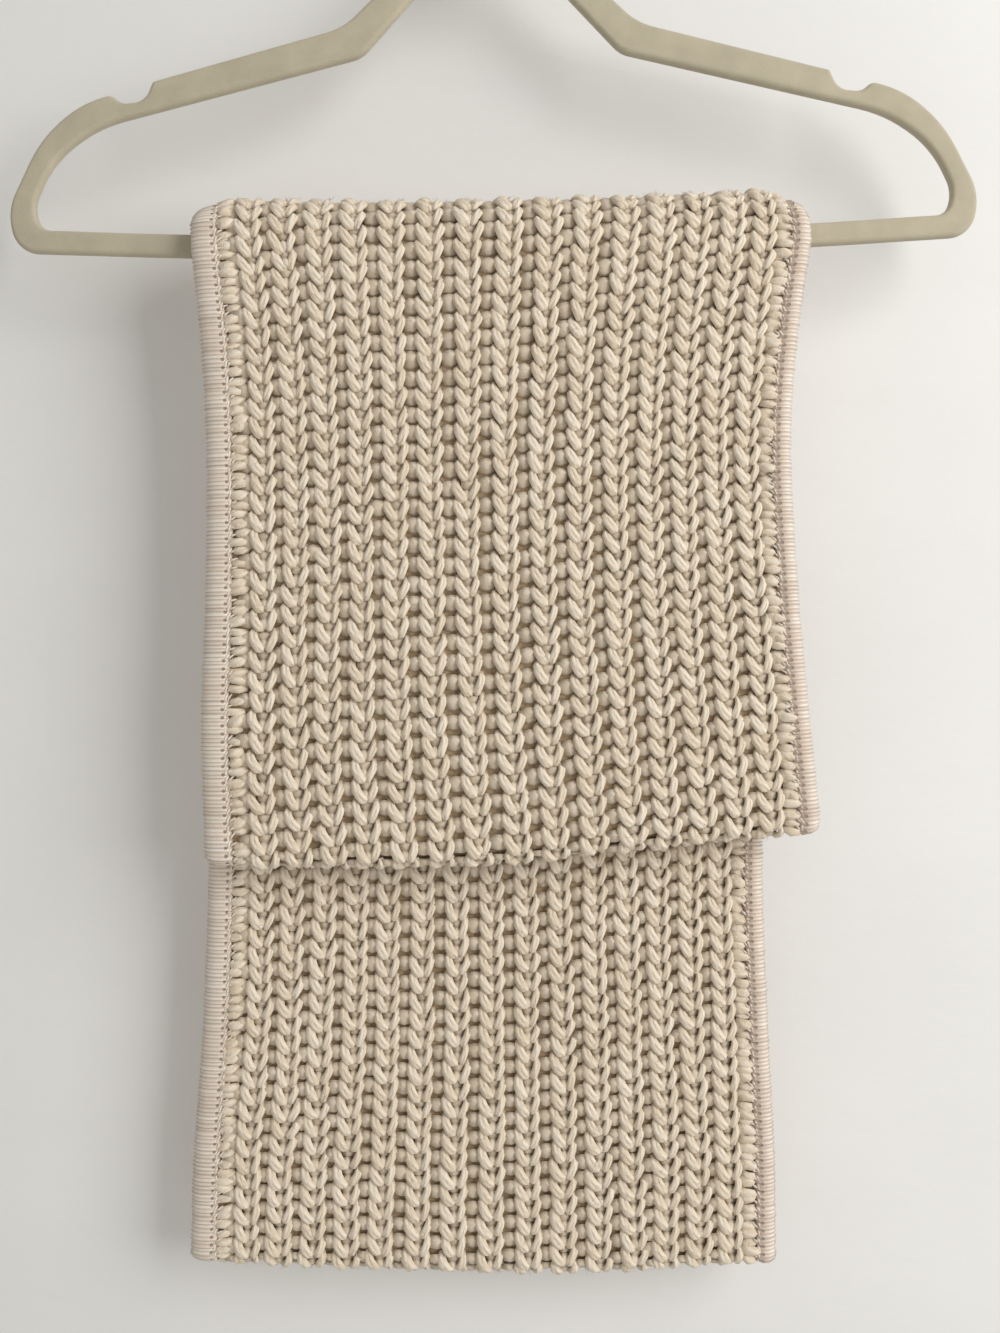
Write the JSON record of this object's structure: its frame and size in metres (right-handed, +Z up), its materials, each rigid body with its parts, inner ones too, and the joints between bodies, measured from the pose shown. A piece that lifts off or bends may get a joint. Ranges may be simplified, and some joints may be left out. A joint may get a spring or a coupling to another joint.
{
  "type": "loop scarf on a hanger",
  "caption": "Loop (infinity) scarf in a chunky rib knit, folded flat and draped over the bar of a flocked hanger, its overlocked long edges at the sides",
  "frame": {"origin": "the highest point inside the hook, where the hanger hangs", "axes": "+Z up along the drop of the cloth, +X along the bar, -Y out of the side with the short drop"},
  "size_m": [0.447, 0.0354, 0.713],
  "materials": {
    "oat_knit": "matte wool-blend knit, softly fuzzy",
    "overlock_thread": "matte thread, pinkish beige",
    "flocked_taupe": "flocked, velvety",
    "hook_metal": "satin wire"
  },
  "bodies": {
    "root": {"scarf_front_outer": "oat_knit", "scarf_front_inner": "oat_knit", "scarf_front_fold": "oat_knit", "scarf_back_outer": "oat_knit", "scarf_back_inner": "oat_knit", "scarf_back_fold": "oat_knit", "scarf_over_bar_outer": "oat_knit", "scarf_over_bar_inner": "oat_knit", "edging_left_front_outer": "overlock_thread", "edging_left_front_inner": "overlock_thread", "edging_left_front_fold": "overlock_thread", "edging_left_back_outer": "overlock_thread", "edging_left_back_inner": "overlock_thread", "edging_left_back_fold": "overlock_thread", "edging_left_over_bar_outer": "overlock_thread", "edging_left_over_bar_inner": "overlock_thread", "edging_right_front_outer": "overlock_thread", "edging_right_front_inner": "overlock_thread", "edging_right_front_fold": "overlock_thread", "edging_right_back_outer": "overlock_thread", "edging_right_back_inner": "overlock_thread", "edging_right_back_fold": "overlock_thread", "edging_right_over_bar_outer": "overlock_thread", "edging_right_over_bar_inner": "overlock_thread", "hanger_body": "flocked_taupe", "hanger_hook": "hook_metal"}
  },
  "joints": []
}
